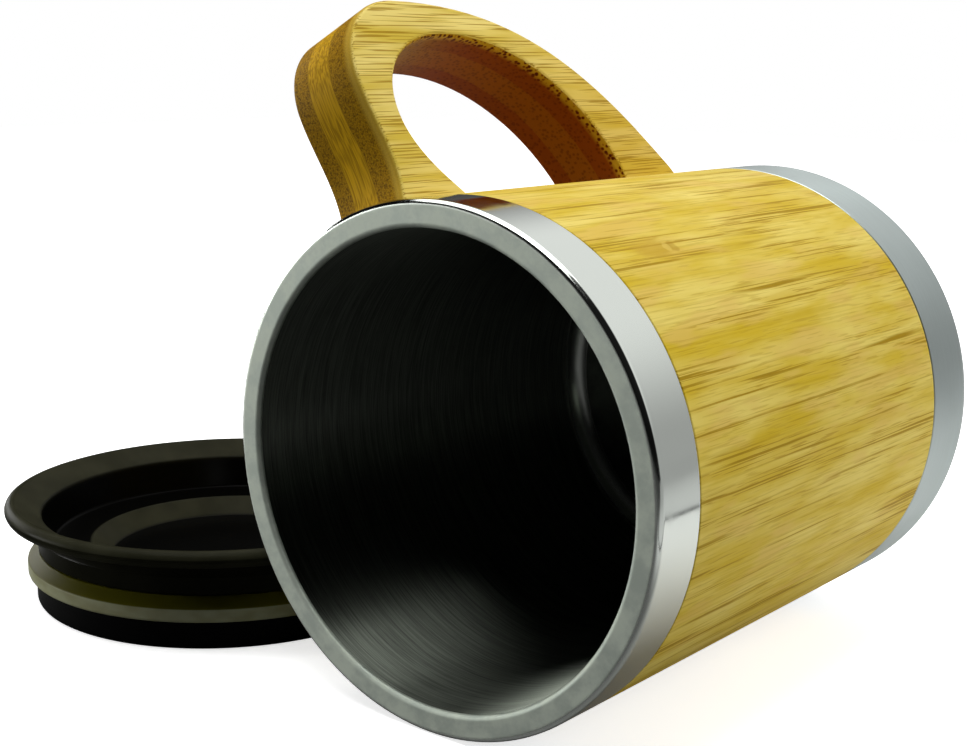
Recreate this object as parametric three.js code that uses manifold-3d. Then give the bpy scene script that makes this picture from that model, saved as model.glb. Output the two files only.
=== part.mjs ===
// Insulated bamboo cup lying on its side, with its push-in lid beside it. Millimetres, +Z up.
// The cup's axis runs along Y with the mouth towards -Y, and the lid leans against its -X flank.
import * as THREE from 'three';
import { mergeVertices } from 'three/addons/utils/BufferGeometryUtils.js';
import Module from 'manifold-3d';

const wasm = await Module();
wasm.setup();

// Cup body
const CUP_RADIUS = 42.9;          // outside of collar, sleeve and base, all flush
const CUP_HEIGHT = 106.7;         // standing face to lip
const AIR_GAP = 0.5;              // between liner and shell at the mouth
const BORE_DRAFT = 1.2;           // how much narrower the bore is just above its floor
const FLOOR_HEIGHT = 17.7;        // standing face to inside floor
const FLOOR_FILLET = 3.5;         // inside corner of the liner
const LINER_SHEET = 0.6;
const SHELL_SHEET = 0.5;
const SHELL_FILLET = 3;
const COLLAR_HEIGHT = 10.6;
const COLLAR_SHEET = 0.7;
const LIP_FILLET = 1.6;           // outer corner of the lip
const LIP_EDGE = 0.4;             // small bevel at the bore's edge
const BASE_HEIGHT = 15.7;
const BASE_SHEET = 0.8;
const BASE_FILLET = 3;
const SLEEVE_WALL = 2.6;
const SPIGOT_LENGTH = 6;          // stepped sleeve end inside the collar and the base
const SEAM = 0.3;                 // gap left between pieces that touch

// Handle: distances run along the cup from the handle's front, heights outwards from the sleeve
const HANDLE_LEAN = 27.6;         // degrees the handle leans over towards the lid
const HANDLE_THICKNESS = 15.6;
const HANDLE_START = 8.7;         // lip to the front of the handle
const HANDLE_LENGTH = 80.4;       // front of the handle to the back of its rear foot
const HANDLE_REACH = 35.7;        // height of the crest
const CREST_BAR = 6.5;            // thickness of the bar at the crest
const STEM_BAR = 7.2;             // and at the waist of the front stem
const STEM_WAIST = 15.2;          // height of that waist
const STEM_BOW = 2.7;             // pull of the stem's slightly hollow front
const FRONT_FOOT = 16;            // length of each foot along the sleeve
const REAR_FOOT = 17.5;
const SHOULDER_HEIGHT = 21;       // where the front turns into the shoulder
const CREST_OUTSIDE = 15.7;       // distance of the outer crest
const CREST_INSIDE = 25.2;        // distance of the finger hole's crest
const CREST_RUN = 40.2;           // how long the back keeps the crest's direction
const REAR_RISE = 14.1;           // how long the rear foot keeps its own direction
const REAR_SWEEP = 10.7;          // forward lean of the rear foot over that rise, outside
const HEEL_SWEEP = 2.1;           // and inside
const TOE_RISE = 2.2;             // flare of the front foot into the finger hole
const TOE_SWEEP = 1.7;
const HANDLE_ARRIS = 0.9;         // bevel along the edges of the flat faces

// Wood screws that hold the handle from inside the sleeve
const SCREW_RADIUS = 1.4;
const SCREW_LENGTH = 10.5;
const SCREW_TIP = 2;
const SCREW_HEAD_RADIUS = 2.6;
const SCREW_HEAD_HEIGHT = 1.3;
const SCREW_HEAD_EDGE = 0.3;
const FRONT_SCREW = 6.2;          // front of the handle to its first screw
const REAR_SCREW = 11;            // back of the rear foot to the other one

// Lid
const FLANGE_OVERHANG = 0.7;      // flange beyond the cup's outside
const FLANGE_EDGE = 3.1;          // thickness of the flange at its round edge
const LID_HEIGHT = 20.1;
const NECK_CLEARANCE = 1;         // neck of the lid to the bore
const PLUG_CLEARANCE = 0.4;       // plug to the bore
const SEAL_SQUEEZE = 1.2;         // free size of the seal beyond the bore that it presses against
const SEAL_GROOVE = 1.5;          // neck to the spigot that carries the seal and the plug
const WELL_EDGE = 0.9;            // neck to the inner edge of the flange's sloping top
const WELL_EDGE_DROP = 2.9;       // how far that edge lies below the lid's top
const WELL_TAPER = 1.9;           // lean of the well's wall
const WELL_DEPTH = 9.4;           // lid's top to the well's floor
const WELL_FLOOR = 7.6;           // width of the well's flat floor
const RECESS_SLOPE = 3.7;         // width of the slope into the middle recess
const RECESS_DEPTH = 3.2;         // well's floor to the middle recess
const LID_WALL = 1.6;
const PLUG_HEIGHT = 5.6;
const PLUG_FILLET = 1;
const PLUG_FLOOR = 1.8;
const SEAL_HEIGHT = 4.3;
const SEAL_RIM = 2.6;             // height of its upright outer rim, below the sloping top
const SEAL_ROUND = 0.6;
const LID_GAP = 0.3;              // flange to the flank that it leans against
const LID_BEHIND_LIP = 29;        // lip to the lid's middle, along the cup

// Fineness of the round stretches
const ROUND_STEPS = 48;           // sides of every turned piece, a flat one facing down
const SCREW_STEPS = 12;
const CORNER_STEPS = 3;
const CURVE_STEPS = 7;
const OVAL_PULL = 0.57;           // control points of a quarter oval, as a share of its half axes

const STEEL = { color: 0xb9bdbb, metalness: 1, roughness: 0.25 };
const BRUSHED_STEEL = { color: 0x8d908c, metalness: 1, roughness: 0.4 };
const BAMBOO = { color: 0xd2aa52, metalness: 0, roughness: 0.5 };
const DARK_PLASTIC = { color: 0x2b2521, metalness: 0, roughness: 0.45 };
const SILICONE = { color: 0xcfc8a4, metalness: 0, roughness: 0.55 };

function mesh(name, geometry, look) {
  const piece = new THREE.Mesh(geometry, new THREE.MeshStandardMaterial(look));
  piece.name = name;
  return piece;
}

// Points of a round corner about (r, z), from one angle to another, in degrees from +r towards +z.
function corner(r, z, radius, from, to, steps = CORNER_STEPS) {
  const points = [];
  for (let i = 0; i <= steps; i += 1) {
    const angle = THREE.MathUtils.degToRad(from + ((to - from) * i) / steps);
    points.push([r + radius * Math.cos(angle), z + radius * Math.sin(angle)]);
  }
  return points;
}

// A piece turned about Z from its [radius, height] section, listed anticlockwise.
function turned(section, steps = ROUND_STEPS) {
  const points = section.map(([r, z]) => new THREE.Vector2(r, z));
  const startsOnAxis = points[0].x === 0;
  if (!startsOnAxis) points.push(points[0].clone());
  return new THREE.LatheGeometry(points, steps, Math.PI / steps).rotateX(Math.PI / 2);
}

function toSolid(geometry) {
  geometry.deleteAttribute('normal');
  geometry.deleteAttribute('uv');
  const merged = mergeVertices(geometry);
  return new wasm.Manifold(new wasm.Mesh({
    numProp: 3,
    vertProperties: Float32Array.from(merged.attributes.position.array),
    triVerts: Uint32Array.from(merged.index.array),
  }));
}

function cut(geometry, ...tools) {
  const solid = tools.reduce((rest, tool) => rest.subtract(toSolid(tool)), toSolid(geometry));
  const { vertProperties, triVerts } = solid.getMesh();
  const result = new THREE.BufferGeometry();
  result.setAttribute('position', new THREE.BufferAttribute(vertProperties, 3));
  result.setIndex(new THREE.BufferAttribute(triVerts, 1));
  result.computeVertexNormals();
  return result;
}

// The cup stands upright here, with the middle of its foot at the origin.
const lean = THREE.MathUtils.degToRad(HANDLE_LEAN);
const sleeveInside = CUP_RADIUS - SLEEVE_WALL;
const shellOutside = sleeveInside - SEAM;
const boreRadius = shellOutside - SHELL_SHEET - AIR_GAP - LINER_SHEET;
const lipUnderside = CUP_HEIGHT - COLLAR_SHEET;
const wallTop = lipUnderside - SEAM;
const collarEdge = CUP_HEIGHT - COLLAR_HEIGHT;
const handleFront = CUP_HEIGHT - HANDLE_START;
const screwDistances = [FRONT_SCREW, HANDLE_LENGTH - REAR_SCREW];

function rimCollar() {
  const centre = [CUP_RADIUS - LIP_FILLET, CUP_HEIGHT - LIP_FILLET];
  return turned([
    [boreRadius, lipUnderside],
    ...corner(...centre, LIP_FILLET - COLLAR_SHEET, 90, 0),
    [CUP_RADIUS - COLLAR_SHEET, collarEdge],
    [CUP_RADIUS, collarEdge],
    ...corner(...centre, LIP_FILLET, 0, 90),
    [boreRadius + LIP_EDGE, CUP_HEIGHT],
    [boreRadius, CUP_HEIGHT - LIP_EDGE],
  ]);
}

// An open cup of sheet metal: wall from the floor's round corner up to its brim.
function sheetCup(floor, fillet, wallAtFloor, wallAtBrim, brim, sheet) {
  const centre = [wallAtFloor - fillet, floor + fillet];
  return turned([
    [0, floor],
    ...corner(...centre, fillet, -90, 0),
    [wallAtBrim, brim],
    [wallAtBrim - sheet, brim],
    ...corner(...centre, fillet - sheet, 0, -90),
    [0, floor + sheet],
  ]);
}

function innerLiner() {
  return sheetCup(
    FLOOR_HEIGHT - LINER_SHEET,
    FLOOR_FILLET + LINER_SHEET,
    boreRadius - BORE_DRAFT + LINER_SHEET,
    boreRadius + LINER_SHEET,
    wallTop,
    LINER_SHEET,
  );
}

function outerShell() {
  return sheetCup(BASE_SHEET + SEAM, SHELL_FILLET, shellOutside, shellOutside, wallTop, SHELL_SHEET);
}

function baseCap() {
  return sheetCup(0, BASE_FILLET, CUP_RADIUS, CUP_RADIUS, BASE_HEIGHT, BASE_SHEET);
}

// A countersunk screw along +Y, its head just inside the sleeve; grown by a gap, it makes the hole.
function handleScrew(distance, grow = 0) {
  const seat = sleeveInside + SEAM;
  const tip = seat + SCREW_LENGTH;
  return turned([
    [0, seat - 2 * grow],
    [SCREW_HEAD_RADIUS + grow, seat - 2 * grow],
    [SCREW_HEAD_RADIUS + grow, seat + SCREW_HEAD_EDGE],
    [SCREW_RADIUS + grow, seat + SCREW_HEAD_HEIGHT],
    [SCREW_RADIUS + grow, tip - SCREW_TIP],
    [0, tip + grow],
  ], SCREW_STEPS).rotateX(-Math.PI / 2).translate(0, 0, handleFront - distance);
}

function screwHoles() {
  return screwDistances.map((distance) => handleScrew(distance, SEAM));
}

function bambooSleeve() {
  const lower = BASE_HEIGHT + SEAM;
  const upper = collarEdge - SEAM;
  const baseSpigot = CUP_RADIUS - BASE_SHEET - SEAM;
  const collarSpigot = CUP_RADIUS - COLLAR_SHEET - SEAM;
  const tube = turned([
    [sleeveInside, lower - SPIGOT_LENGTH],
    [baseSpigot, lower - SPIGOT_LENGTH],
    [baseSpigot, lower],
    [CUP_RADIUS, lower],
    [CUP_RADIUS, upper],
    [collarSpigot, upper],
    [collarSpigot, upper + SPIGOT_LENGTH],
    [sleeveInside, upper + SPIGOT_LENGTH],
  ]);
  return cut(tube, ...screwHoles().map((hole) => hole.rotateZ(lean)));
}

// One flat board: slightly hollow front, round shoulder, long falling back and an oval finger hole.
function handleOutline() {
  const sleeve = CUP_RADIUS;
  const root = sleeve - HANDLE_THICKNESS;
  const crest = sleeve + HANDLE_REACH;
  const shoulder = sleeve + SHOULDER_HEIGHT;
  const waist = sleeve + STEM_WAIST;
  const holeCrest = crest - CREST_BAR;
  const heel = HANDLE_LENGTH - REAR_FOOT;
  const outline = new THREE.Shape();
  outline.moveTo(0, root);
  outline.lineTo(0, sleeve);
  outline.bezierCurveTo(
    STEM_BOW, sleeve + SHOULDER_HEIGHT / 3,
    0, sleeve + (2 * SHOULDER_HEIGHT) / 3,
    0, shoulder,
  );
  outline.bezierCurveTo(
    0, shoulder + OVAL_PULL * (crest - shoulder),
    CREST_OUTSIDE * (1 - OVAL_PULL), crest,
    CREST_OUTSIDE, crest,
  );
  outline.bezierCurveTo(
    CREST_OUTSIDE + CREST_RUN, crest,
    HANDLE_LENGTH - REAR_SWEEP, sleeve + REAR_RISE,
    HANDLE_LENGTH, sleeve,
  );
  outline.lineTo(HANDLE_LENGTH, root);
  outline.lineTo(heel, root);
  outline.lineTo(heel, sleeve);
  outline.bezierCurveTo(
    heel - HEEL_SWEEP, sleeve + REAR_RISE,
    CREST_INSIDE + OVAL_PULL * (heel - CREST_INSIDE), holeCrest,
    CREST_INSIDE, holeCrest,
  );
  outline.bezierCurveTo(
    CREST_INSIDE - OVAL_PULL * (CREST_INSIDE - STEM_BAR), holeCrest,
    STEM_BAR, waist + OVAL_PULL * (holeCrest - waist),
    STEM_BAR, waist,
  );
  outline.bezierCurveTo(
    STEM_BAR, waist - OVAL_PULL * (STEM_WAIST - TOE_RISE),
    FRONT_FOOT - TOE_SWEEP, sleeve + TOE_RISE,
    FRONT_FOOT, sleeve,
  );
  outline.lineTo(FRONT_FOOT, root);
  return outline;
}

function handle() {
  const board = new THREE.ExtrudeGeometry(handleOutline(), {
    depth: HANDLE_THICKNESS - 2 * HANDLE_ARRIS,
    bevelThickness: HANDLE_ARRIS,
    bevelSize: HANDLE_ARRIS,
    bevelOffset: -HANDLE_ARRIS,
    bevelSegments: 1,
    curveSegments: CURVE_STEPS,
  });
  board.translate(0, 0, HANDLE_ARRIS - HANDLE_THICKNESS / 2);
  board.rotateY(Math.PI / 2).translate(0, 0, handleFront);
  const seat = new THREE.CylinderGeometry(CUP_RADIUS + SEAM, CUP_RADIUS + SEAM, CUP_HEIGHT, 2 * ROUND_STEPS);
  seat.rotateX(Math.PI / 2).translate(0, 0, CUP_HEIGHT / 2);
  return cut(board, seat, ...screwHoles());
}

function makeCup() {
  const grip = new THREE.Group();
  grip.add(mesh('handle', handle(), BAMBOO));
  const [front, rear] = screwDistances;
  grip.add(mesh('handle_screw_front', handleScrew(front), STEEL));
  grip.add(mesh('handle_screw_rear', handleScrew(rear), STEEL));
  grip.rotation.z = lean;
  const cup = new THREE.Group();
  cup.add(mesh('rim_collar', rimCollar(), STEEL));
  cup.add(mesh('inner_liner', innerLiner(), BRUSHED_STEEL));
  cup.add(mesh('outer_shell', outerShell(), BRUSHED_STEEL));
  cup.add(mesh('bamboo_sleeve', bambooSleeve(), BAMBOO));
  cup.add(mesh('base_cap', baseCap(), STEEL));
  cup.add(grip);
  return cup;
}

// The lid lies flat, with the middle of its underside at the origin.
const flangeRadius = CUP_RADIUS + FLANGE_OVERHANG;
const neckRadius = boreRadius - NECK_CLEARANCE;
const skirtRadius = neckRadius - SEAL_GROOVE;
const skirtInside = skirtRadius - LID_WALL;
const sealBottom = PLUG_HEIGHT + SEAM;
const neckBottom = sealBottom + SEAL_HEIGHT + SEAM;
const edgeRadius = FLANGE_EDGE / 2;
const edgeHeight = LID_HEIGHT - edgeRadius;

function lidDish() {
  const wellRadius = neckRadius - WELL_EDGE;
  const wellFloorRadius = wellRadius - WELL_TAPER;
  const recessRadius = wellFloorRadius - WELL_FLOOR;
  const recessFloorRadius = recessRadius - RECESS_SLOPE;
  const wellFloor = LID_HEIGHT - WELL_DEPTH;
  const recessFloor = wellFloor - RECESS_DEPTH;
  const skirtEnd = PLUG_FLOOR + SEAM;
  return turned([
    [0, recessFloor - LID_WALL],
    [recessFloorRadius, recessFloor - LID_WALL],
    [recessRadius, wellFloor - LID_WALL],
    [skirtInside, wellFloor - LID_WALL],
    [skirtInside, skirtEnd],
    [skirtRadius, skirtEnd],
    [skirtRadius, neckBottom],
    [neckRadius, neckBottom],
    [neckRadius, LID_HEIGHT - FLANGE_EDGE],
    ...corner(flangeRadius - edgeRadius, edgeHeight, edgeRadius, -90, 90, 2 * CORNER_STEPS),
    [wellRadius, LID_HEIGHT - WELL_EDGE_DROP],
    [wellFloorRadius, wellFloor],
    [recessRadius, wellFloor],
    [recessFloorRadius, recessFloor],
    [0, recessFloor],
  ]);
}

function lidPlug() {
  const inside = skirtRadius + SEAM;
  const outside = boreRadius - PLUG_CLEARANCE;
  return turned([
    [0, 0],
    ...corner(outside - PLUG_FILLET, PLUG_FILLET, PLUG_FILLET, -90, 0),
    [outside, PLUG_HEIGHT],
    [inside, PLUG_HEIGHT],
    [inside, PLUG_FLOOR],
    [0, PLUG_FLOOR],
  ]);
}

function lidSeal() {
  const inside = skirtRadius + SEAM;
  const rimCentre = boreRadius + SEAL_SQUEEZE - SEAL_ROUND;
  const top = sealBottom + SEAL_HEIGHT;
  return turned([
    [inside, sealBottom],
    ...corner(rimCentre, sealBottom + SEAL_ROUND, SEAL_ROUND, -90, 0),
    ...corner(rimCentre, sealBottom + SEAL_RIM - SEAL_ROUND, SEAL_ROUND, 0, 60),
    [neckRadius, top],
    [inside, top],
  ]);
}

function makeLid() {
  const lid = new THREE.Group();
  lid.add(mesh('lid_dish', lidDish(), DARK_PLASTIC));
  lid.add(mesh('lid_seal', lidSeal(), SILICONE));
  lid.add(mesh('lid_plug', lidPlug(), DARK_PLASTIC));
  return lid;
}

// The cup lies on one of its flats, and the flange's round edge stops against its flank.
const axisHeight = CUP_RADIUS * Math.cos(Math.PI / ROUND_STEPS);
const edgeToAxis = Math.sqrt((CUP_RADIUS + LID_GAP + edgeRadius) ** 2 - (axisHeight - edgeHeight) ** 2);

const cup = makeCup();
cup.rotation.x = Math.PI / 2;
cup.position.z = axisHeight;
const lid = makeLid();
lid.position.set(edgeRadius - flangeRadius - edgeToAxis, LID_BEHIND_LIP - CUP_HEIGHT, 0);

// The origin is under the middle of the whole, on the table.
const pair = new THREE.Group().add(cup, lid);
const middle = new THREE.Box3().setFromObject(pair, true).getCenter(new THREE.Vector3());
pair.position.set(-middle.x, -middle.y, 0);

export default new THREE.Group().add(pair);
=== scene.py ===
"""Insulated bamboo cup lying on its side, with its push-in lid beside it: looks, light and camera.

Everything is in metres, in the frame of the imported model. Cup pieces are built upright about their
own Z, from the standing face up, and then laid down; lid pieces stand on the table.
"""

import math

import bpy
from mathutils import Matrix, Vector

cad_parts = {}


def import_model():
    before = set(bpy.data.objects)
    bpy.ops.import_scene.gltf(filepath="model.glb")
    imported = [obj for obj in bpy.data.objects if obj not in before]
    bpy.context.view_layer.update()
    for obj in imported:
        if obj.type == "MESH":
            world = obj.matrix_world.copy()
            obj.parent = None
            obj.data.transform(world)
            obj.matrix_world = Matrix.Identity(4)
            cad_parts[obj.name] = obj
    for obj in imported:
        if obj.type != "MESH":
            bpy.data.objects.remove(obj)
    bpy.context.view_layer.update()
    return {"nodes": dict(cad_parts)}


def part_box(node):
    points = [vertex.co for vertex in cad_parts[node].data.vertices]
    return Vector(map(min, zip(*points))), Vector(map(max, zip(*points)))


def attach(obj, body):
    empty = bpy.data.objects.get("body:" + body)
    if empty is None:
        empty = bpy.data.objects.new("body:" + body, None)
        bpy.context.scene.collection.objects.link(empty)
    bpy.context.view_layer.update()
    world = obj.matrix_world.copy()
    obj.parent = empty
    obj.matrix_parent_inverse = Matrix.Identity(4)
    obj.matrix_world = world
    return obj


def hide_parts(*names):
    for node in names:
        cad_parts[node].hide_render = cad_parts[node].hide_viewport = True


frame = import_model()

MM = 0.001
QUARTER_TURN = math.pi / 2

# Cup body, where the frame doesn't give it
BORE_RADIUS = 38.4 * MM
BORE_DRAFT = 1.2 * MM
FLOOR_FILLET = 3.5 * MM
LINER_SHEET = 0.6 * MM
LINER_ROUND = 0.15 * MM
COLLAR_SHEET = 0.7 * MM
LIP_FILLET = 1.0 * MM
LIP_INSIDE = 0.8 * MM
BASE_SHEET = 0.8 * MM
BASE_FILLET = 3 * MM
SLEEVE_WALL = 2.6 * MM
SPIGOT_LENGTH = 6 * MM
EDGE_ROUND = 0.25 * MM
HIDDEN_ROUND = 0.1 * MM
SEAM = 0.1 * MM
FOOT_SEAM = 0.25 * MM

# Handle: distances along the cup from the handle's front, heights outwards from the sleeve
HANDLE_LEAN = math.radians(27.6)
HANDLE_THICKNESS = 15.6 * MM
HANDLE_START = 8.7 * MM
HANDLE_LENGTH = 80.4 * MM
HANDLE_REACH = 35.7 * MM
CREST_BAR = 6.5 * MM
STEM_BAR = 7.2 * MM
STEM_WAIST = 15.2 * MM
STEM_BOW = 2.7 * MM
FRONT_FOOT = 16 * MM
REAR_FOOT = 17.5 * MM
FOOT_SINK = 0.05 * MM
SHOULDER_HEIGHT = 21 * MM
CREST_OUTSIDE = 15.7 * MM
CREST_INSIDE = 25.2 * MM
CREST_RUN = 40.2 * MM
REAR_RISE = 14.1 * MM
REAR_SWEEP = 10.7 * MM
HEEL_SWEEP = 2.1 * MM
TOE_RISE = 2.2 * MM
TOE_SWEEP = 1.7 * MM
HANDLE_ARRIS = 0.9 * MM
OVAL_PULL = 0.57
NEAR_PLY = 5.8 * MM
FAR_PLY = 4.3 * MM

# Lid
FLANGE_EDGE = 3.1 * MM
FLANGE_ROUND = FLANGE_EDGE / 2 - 0.03 * MM
FLANGE_SHOULDER = FLANGE_EDGE / 2 + 0.5 * MM
FLANGE_CREST = 0.6 * MM
FLANGE_ROOT = 0.8 * MM
NECK_RADIUS = 37.4 * MM
NECK_ROUND = 0.35 * MM
NECK_BEAD = 0.15 * MM
SKIRT_RADIUS = 35.9 * MM
SKIRT_ROUND = 0.2 * MM
WELL_RADIUS = 36.5 * MM
WELL_EDGE_DROP = 2.9 * MM
WELL_EDGE_ROUND = 0.9 * MM
WELL_FLOOR_RADIUS = 34.6 * MM
WELL_CORNER = 0.8 * MM
WELL_DEPTH = 9.4 * MM
RECESS_RADIUS = 27 * MM
RECESS_FLOOR_RADIUS = 23.3 * MM
RECESS_DEPTH = 3.2 * MM
RECESS_ROUND = 0.7 * MM
LID_WALL = 1.6 * MM
UNDERSIDE_ROUND = 0.5 * MM
UNDERSIDE_CORNER = 0.3 * MM
SEAL_RIM = 2.6 * MM
SEAL_ROUND = 0.6 * MM
SEAL_TOP_ROUND = 0.3 * MM
SEAL_INNER_ROUND = 0.2 * MM
PLUG_FLOOR = 1.8 * MM
PLUG_FOOT_ROUND = 1 * MM
PLUG_ROUND = 0.3 * MM
PLUG_BRIM_ROUND = 0.2 * MM

# Knot in the bamboo: angle from +X about the cup's axis, and height from its foot
KNOT_ANGLE = math.radians(55.5)
KNOT_HEIGHT = 78.5 * MM

# Fineness; a corner has a close point on both sides, this share of its radius away
TURN_STEPS = 192
CORNER_STEPS = 6
CORNER_LEAD = 0.2
CURVE_STEPS = 28
SHARP_ANGLE = math.radians(32)
TOUCHING = 1e-7

# Camera: its place from the middle of the lip, its height over the table, and its lens in millimetres
LENS = 58.9
SENSOR_WIDTH = 36
CAMERA_FROM_RIM = Vector((156.8, -178.5)) * MM
CAMERA_HEIGHT = 107.2 * MM
CAMERA_TURN = math.radians(39.24)
CAMERA_DOWN = math.radians(11.45)
CAMERA_ROLL = math.radians(0.51)


# Places read from the frame
collar_low, collar_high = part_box("rim_collar")
base_low, base_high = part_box("base_cap")
_, liner_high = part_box("inner_liner")
dish_low, dish_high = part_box("lid_dish")
seal_low, seal_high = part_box("lid_seal")
plug_low, plug_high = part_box("lid_plug")

cup_radius = (collar_high.x - collar_low.x) / 2
cup_height = base_high.y - collar_low.y
collar_edge = cup_height - (collar_high.y - collar_low.y)
base_edge = base_high.y - base_low.y
bore_floor = base_high.y - liner_high.y + LINER_SHEET
axis_middle = (collar_low + collar_high) / 2
dish_middle = (dish_low + dish_high) / 2

CUP_PLACE = (
    Matrix.Translation((axis_middle.x, base_high.y, axis_middle.z))
    @ Matrix.Rotation(QUARTER_TURN, 4, "X")
)
GRIP_PLACE = (
    CUP_PLACE
    @ Matrix.Rotation(HANDLE_LEAN, 4, "Z")
    @ Matrix.Translation((0, 0, cup_height - HANDLE_START))
    @ Matrix.Rotation(QUARTER_TURN, 4, "Y")
)
LID_PLACE = Matrix.Translation((dish_middle.x, dish_middle.y, 0))


# Mesh helpers

def corner_arc(here, before, after, radius):
    """Points of the arc that rounds a corner, and a close point before and after it."""
    half = before.angle(after) / 2
    run = radius / math.tan(half)
    centre = here + (before + after).normalized() * (radius / math.sin(half))
    start, stop = here + before * run, here + after * run
    first, last = start - centre, stop - centre
    lead = CORNER_LEAD * radius
    points = [start + before * lead]
    for k in range(CORNER_STEPS + 1):
        outwards = first.lerp(last, k / CORNER_STEPS).normalized()
        points.append(centre + outwards * radius)
    return points + [stop + after * lead]


def rounded(corners, closed):
    """Points of a section given by [r, h, radius] corners, with each corner rounded by its radius."""
    points = []
    for i, (r, h, radius) in enumerate(corners):
        here = Vector((r, h))
        on_end = not closed and i in (0, len(corners) - 1)
        if on_end or radius == 0:
            points.append(here)
            continue
        before = (Vector(corners[i - 1][:2]) - here).normalized()
        after = (Vector(corners[(i + 1) % len(corners)][:2]) - here).normalized()
        points += corner_arc(here, before, after, radius)
    return [(p.x, p.y) for p in points]


def make_object(name, vertices, faces, place):
    """A smooth mesh object whose real corners stay sharp."""
    data = bpy.data.meshes.new(name)
    data.from_pydata(vertices, [], faces)
    data.validate()
    data.shade_smooth()
    data.set_sharp_from_angle(angle=SHARP_ANGLE)
    piece = bpy.data.objects.new(name, data)
    bpy.context.scene.collection.objects.link(piece)
    piece.matrix_world = place
    return piece


def turned(name, corners, place, closed=False):
    """A piece turned about Z from a section listed anticlockwise, either a ring or from axis to axis."""
    section = rounded(corners, closed)
    vertices, rings = [], []
    for r, h in section:
        start = len(vertices)
        if r == 0:
            vertices.append((0, 0, h))
            rings.append([start] * TURN_STEPS)
            continue
        for k in range(TURN_STEPS):
            angle = 2 * math.pi * k / TURN_STEPS
            vertices.append((r * math.cos(angle), r * math.sin(angle), h))
        rings.append(list(range(start, start + TURN_STEPS)))
    pairs = list(zip(rings, rings[1:]))
    if closed:
        pairs.append((rings[-1], rings[0]))
    faces = []
    for low, high in pairs:
        for k in range(TURN_STEPS):
            after = (k + 1) % TURN_STEPS
            corner_ids = [low[k], low[after], high[after], high[k]]
            faces.append(list(dict.fromkeys(corner_ids)))
    return make_object(name, vertices, faces, place)


# Cup pieces

def rim_collar():
    lip, inner = cup_height, cup_radius - COLLAR_SHEET
    return turned("rim_collar_fine", [
        (BORE_RADIUS, lip - COLLAR_SHEET, HIDDEN_ROUND),
        (inner, lip - COLLAR_SHEET, LIP_FILLET - COLLAR_SHEET),
        (inner, collar_edge, HIDDEN_ROUND),
        (cup_radius, collar_edge, EDGE_ROUND),
        (cup_radius, lip, LIP_FILLET),
        (BORE_RADIUS, lip, LIP_INSIDE),
    ], CUP_PLACE, closed=True)


def inner_liner():
    brim = cup_height - COLLAR_SHEET - SEAM
    foot = BORE_RADIUS - BORE_DRAFT
    return turned("inner_liner_fine", [
        (0, bore_floor - LINER_SHEET, 0),
        (foot + LINER_SHEET, bore_floor - LINER_SHEET, FLOOR_FILLET + LINER_SHEET),
        (BORE_RADIUS + LINER_SHEET, brim, LINER_ROUND),
        (BORE_RADIUS, brim, LINER_ROUND),
        (foot, bore_floor, FLOOR_FILLET),
        (0, bore_floor, 0),
    ], CUP_PLACE)


def bamboo_sleeve():
    inside = cup_radius - SLEEVE_WALL
    lower, upper = base_edge + FOOT_SEAM, collar_edge - SEAM
    base_spigot = cup_radius - BASE_SHEET - SEAM
    collar_spigot = cup_radius - COLLAR_SHEET - SEAM
    return turned("bamboo_sleeve_fine", [
        (inside, lower - SPIGOT_LENGTH, HIDDEN_ROUND),
        (base_spigot, lower - SPIGOT_LENGTH, HIDDEN_ROUND),
        (base_spigot, lower, HIDDEN_ROUND),
        (cup_radius, lower, EDGE_ROUND),
        (cup_radius, upper, EDGE_ROUND),
        (collar_spigot, upper, HIDDEN_ROUND),
        (collar_spigot, upper + SPIGOT_LENGTH, HIDDEN_ROUND),
        (inside, upper + SPIGOT_LENGTH, HIDDEN_ROUND),
    ], CUP_PLACE, closed=True)


def base_cap():
    inner = cup_radius - BASE_SHEET
    return turned("base_cap_fine", [
        (0, 0, 0),
        (cup_radius, 0, BASE_FILLET),
        (cup_radius, base_edge, EDGE_ROUND),
        (inner, base_edge, HIDDEN_ROUND),
        (inner, BASE_SHEET, BASE_FILLET - BASE_SHEET),
        (0, BASE_SHEET, 0),
    ], CUP_PLACE)


def bezier(a, b, c, d):
    """Points of a cubic curve, without its first one."""
    points = []
    for k in range(1, CURVE_STEPS + 1):
        t = k / CURVE_STEPS
        s = 1 - t
        points.append(s**3 * a + 3 * s * s * t * b + 3 * s * t * t * c + t**3 * d)
    return points


def handle_outside():
    """From the front foot over the crest to the rear foot's end."""
    sleeve, crest = cup_radius, cup_radius + HANDLE_REACH
    shoulder = sleeve + SHOULDER_HEIGHT
    points = [Vector((0, sleeve))]
    points += bezier(
        points[-1],
        Vector((STEM_BOW, sleeve + SHOULDER_HEIGHT / 3)),
        Vector((0, sleeve + 2 * SHOULDER_HEIGHT / 3)),
        Vector((0, shoulder)),
    )
    points += bezier(
        points[-1],
        Vector((0, shoulder + OVAL_PULL * (crest - shoulder))),
        Vector((CREST_OUTSIDE * (1 - OVAL_PULL), crest)),
        Vector((CREST_OUTSIDE, crest)),
    )
    points += bezier(
        points[-1],
        Vector((CREST_OUTSIDE + CREST_RUN, crest)),
        Vector((HANDLE_LENGTH - REAR_SWEEP, sleeve + REAR_RISE)),
        Vector((HANDLE_LENGTH, sleeve)),
    )
    return points


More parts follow.
